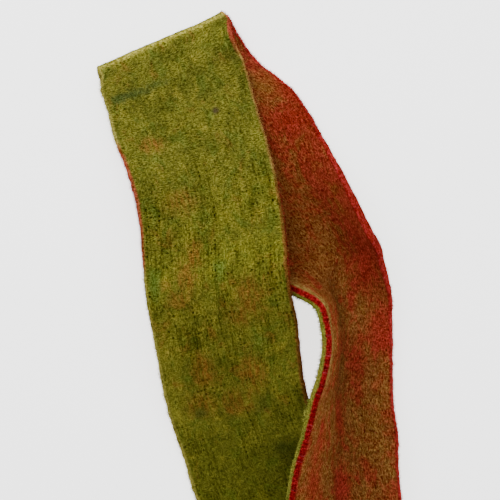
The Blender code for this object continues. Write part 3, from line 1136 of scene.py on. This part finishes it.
def red_face(n):
    flecks = n.noise("flecks")
    ruddy = n.times_plus(flecks, CLOUD_FLECKS, n.noise("ruddy"))
    ruddy = n.times_plus(n.grain, CLOUD_GRAIN, ruddy)
    right = n.times(n.shown("ruddy_right", n.across), n.shown("ruddy_to", n.along))
    red = n.mix(n.shown("ruddy", n.plus(ruddy, right)), BROWN, BRICK)
    mossy = n.times_plus(n.grain, CLOUD_GRAIN, n.noise("mossy"))
    mossy = n.plus(mossy, n.shown("mossy_from", n.along))
    mossy = n.times_plus(stretch_of(n, *MOSSY_STRETCH), MOSSY_MORE, mossy)
    red = n.mix(n.shown("mossy", mossy), red, MOSS)
    red = patched(n, red, "red", flecks)
    red = patched(n, red, "moss", flecks)

    # Paler beside the edge that stands up
    beside = n.shown("beside_wall", n.times_plus(flecks, WALL_FLECKS, n.across))
    return n.mix(n.times(beside, stretch_of(n, *WALL_STRETCH)), red, HAZEL)


def with_rims(n, green):
    """The green face with its rims, which are lighter or redder than the rest, and a painted highlight
    along the fold's outermost line.
    """
    for side, start, end, reach, strength, colour in RIMS:
        gap = n.times_plus(n.grain, RIM_GRAIN, from_edge(n, side))
        near = n.ramp(gap, reach + RIM_FROM, reach + RIM_TO, strength, 0.0)
        green = n.mix(n.times(near, stretch_of(n, start, end)), green, colour)
    # A painted highlight along the fold's outermost line
    from_fold = n.maths("ABSOLUTE", n.minus(n.along, FOLD_ALONG))
    return n.mix(n.shown("painted_fold_highlight", n.times_plus(n.grain, FOLD_GRAIN, from_fold)), green, FOLD_HIGHLIGHT)


def pulled_over(n):
    """How much farther down the cut edges the green fibres reach; below 0 they fall short."""
    reach = 0.0
    for side, start, end, amount in PULLED_OVER:
        near = n.times(stretch_of(n, start, end), n.shown("pulled", from_edge(n, side)))
        reach = n.times_plus(near, amount, reach)
    return reach


def felt_colour(n, on_green, on_red, torn):
    """The green face, the red face, and the red core that the cut edges show between them."""
    core = n.mix(n.cloud("core"), CORE_DARK, CORE_RED)
    core = n.mix(n.cloud("threads"), core, CORE_PALE)
    from_right = from_edge(n, "right")
    edge_gap = n.maths("MINIMUM", n.across, from_right)
    inside = n.shown("inside", n.times_plus(torn, TORN_INSIDE, edge_gap))
    # A rose rim on the red face along the back leg's right edge: partly the felt's own colour and partly
    # painted light on the rounded edge
    outer = n.shown("outer_rim_and_highlight", n.times_plus(n.grain, OUTER_GRAIN, from_right))
    colour = n.mix(n.times(on_red, inside), core, red_face(n))
    colour = n.mix(n.times(outer, n.shown("back_leg", n.along)), colour, RIM_ROSE_AND_HIGHLIGHT)
    colour = n.mix(on_green, colour, with_rims(n, green_face(n)))
    spot = near_spot(n, (SPOT_ACROSS, SPOT_ALONG, SPOT_RADIUS, SPOT_RADIUS), SPOT_SOFT)
    spot = n.times(spot, n.shown("spot", n.grain))
    return n.mix(n.times(spot, n.times(on_green, SPOT_SHARE)), colour, SPOT_BROWN)


def shaded(n, value, on_green, row):
    low, high, darkest, lightest = row
    return n.ramp(value, low, high, n.blend(on_green, *darkest), n.blend(on_green, *lightest))


def felt_shade(n, on_green, strands, clumps, marks):
    """Light and shade from strand to strand, and painted light and shade over longer stretches of the
    band.
    """
    shade = n.times(shaded(n, strands, on_green, STRAND_SHADE), shaded(n, n.grain, on_green, GRAIN_SHADE))
    shade = n.times(shade, n.shown("clumps", clumps))
    shade = n.times(shade, n.times_plus(marks, *MARK_SHADE))
    shade = n.times(shade, n.times_plus(n.tone, *TONE_SHADE))
    # Painted light and shade over stretches of the band
    for start, end, amount in PAINTED_LIGHT_AND_SHADE:
        stretch = stretch_of(n, start, end, PAINTED_LIGHT_AND_SHADE_FADE)
        shade = n.times(shade, n.times_plus(stretch, amount, 1.0))
    return shade


def strand_colour(n, colour, shade, on_green):
    """The colour in light and shade: light strands are paler, and the gaps between them deeper."""
    over = n.times(n.minus(shade, 1.0), n.shown("contrast", n.along))
    light = n.new("CombineColor")
    for socket, shares in zip(light.inputs, COLOUR_SHARES):
        share = n.blend(on_green, *shares)
        n.put(socket, n.larger(n.times_plus(over, share, 1.0), DEEPEST))
    return n.mix(1.0, colour, light.outputs[0], "MULTIPLY")


def felt_material():
    n = Nodes("needled_felt")
    felt_attributes(n)
    torn = n.noise("torn")
    ragged = n.times_plus(torn, TORN_DEPTH, n.depth)
    on_green = n.shown("green_ends", n.minus(ragged, pulled_over(n)))
    on_red = n.shown("red_starts", ragged)
    strands = felt_strands(n, n.blend(on_green, RED_TURN, n.shown("strands_turn", n.along)))
    clumps = n.noise("clumps")
    marks = needle_marks(n)

    colour = felt_colour(n, on_green, on_red, torn)
    shade = felt_shade(n, on_green, strands, clumps, marks)
    colour = strand_colour(n, colour, shade, on_green)
    height = n.times_plus(clumps, CLUMP_HEIGHT, strands)
    height = n.times_plus(marks, -MARK_DEPTH, height)
    bump = n.new("Bump")
    n.fill(bump, ("Strength", "Distance", "Height"), (BUMP_STRENGTH, BUMP_DISTANCE, height))
    names = ("Base Color", "Normal", "Roughness", "Specular IOR Level")
    n.fill(n.shader, names, (colour, bump.outputs[0], n.shown("roughness", clumps), 0.0))
    return n.material


def floor_material():
    n = Nodes("pale_floor")
    n.place = n.new("TexCoord").outputs["Object"]
    names = ("Base Color", "Roughness", "Emission Color", "Emission Strength")
    grey = n.mix(n.cloud("floor"), *FLOOR_GREYS)
    n.fill(n.shader, names, (grey, FLOOR_ROUGHNESS, WHITE, FLOOR_GLOW))
    return n.material


# -------------------- stage

# In metres
CAMERA_HEIGHT = 0.9
FRAME_SIDE = 0.2605       # what the frame covers, at the height of the felt
FELT_HEIGHT = 0.008
NEAREST = 0.01
FARTHEST = 20.0
FLOOR_SIDE = 6.0
FLOOR_GREYS = ((0.87, 0.87, 0.87), (0.90, 0.90, 0.90))
FLOOR_ROUGHNESS = 0.85
FLOOR_GLOW = 2.2
WORLD_STRENGTH = 0.55

# Each light: its place, where it points, its side and its power
LIGHTS = {
    "key_light": ((-0.30, 0.62, 0.58), (0.0, 0.05, 0.0), 0.75, 9.6),
    "fill_light": ((0.5, 0.3, 0.9), (0.0, 0.0, 0.0), 0.9, 3.2),
}


def add_camera():
    data = bpy.data.cameras.new("camera")
    data.sensor_fit = "HORIZONTAL"
    data.angle = 2.0 * math.atan(FRAME_SIDE / 2.0 / (CAMERA_HEIGHT - FELT_HEIGHT))
    data.clip_start = NEAREST
    data.clip_end = FARTHEST
    camera = bpy.data.objects.new("camera", data)
    camera.location = (-ORIGIN_X * MM, -ORIGIN_Y * MM, CAMERA_HEIGHT)
    bpy.context.scene.collection.objects.link(camera)
    bpy.context.scene.camera = camera


def add_area(name, place, target, side, power):
    data = bpy.data.lights.new(name, "AREA")
    data.shape = "SQUARE"
    data.size = side
    data.energy = power
    light = bpy.data.objects.new(name, data)
    light.location = place
    way = np.array(target) - np.array(place)
    length = math.sqrt((way ** 2).sum())
    tilt = math.acos(-way[2] / length)
    light.rotation_euler = (tilt, 0.0, math.atan2(-way[0], way[1]))
    bpy.context.scene.collection.objects.link(light)


def add_floor():
    half = FLOOR_SIDE / 2.0
    points = np.array([(-half, -half, 0.0), (half, -half, 0.0), (half, half, 0.0), (-half, half, 0.0)])
    mesh = new_mesh("floor", points, np.array([[0, 1, 2, 3]]))
    mesh.materials.append(floor_material())
    show("floor", mesh)


def add_world():
    world = bpy.data.worlds.new("studio")
    world.use_nodes = True
    background = world.node_tree.nodes["Background"]
    background.inputs["Color"].default_value = (*WHITE, 1.0)
    background.inputs["Strength"].default_value = WORLD_STRENGTH
    bpy.context.scene.world = world


# -------------------- the scene

band = Band()
material = felt_material()
felt = make_felt(band, material)
pieces = grow_all(band, material)
for piece in [felt] + pieces:
    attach(piece, "root")
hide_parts("felt_band")

add_floor()
add_world()
for name, light in LIGHTS.items():
    add_area(name, *light)
add_camera()
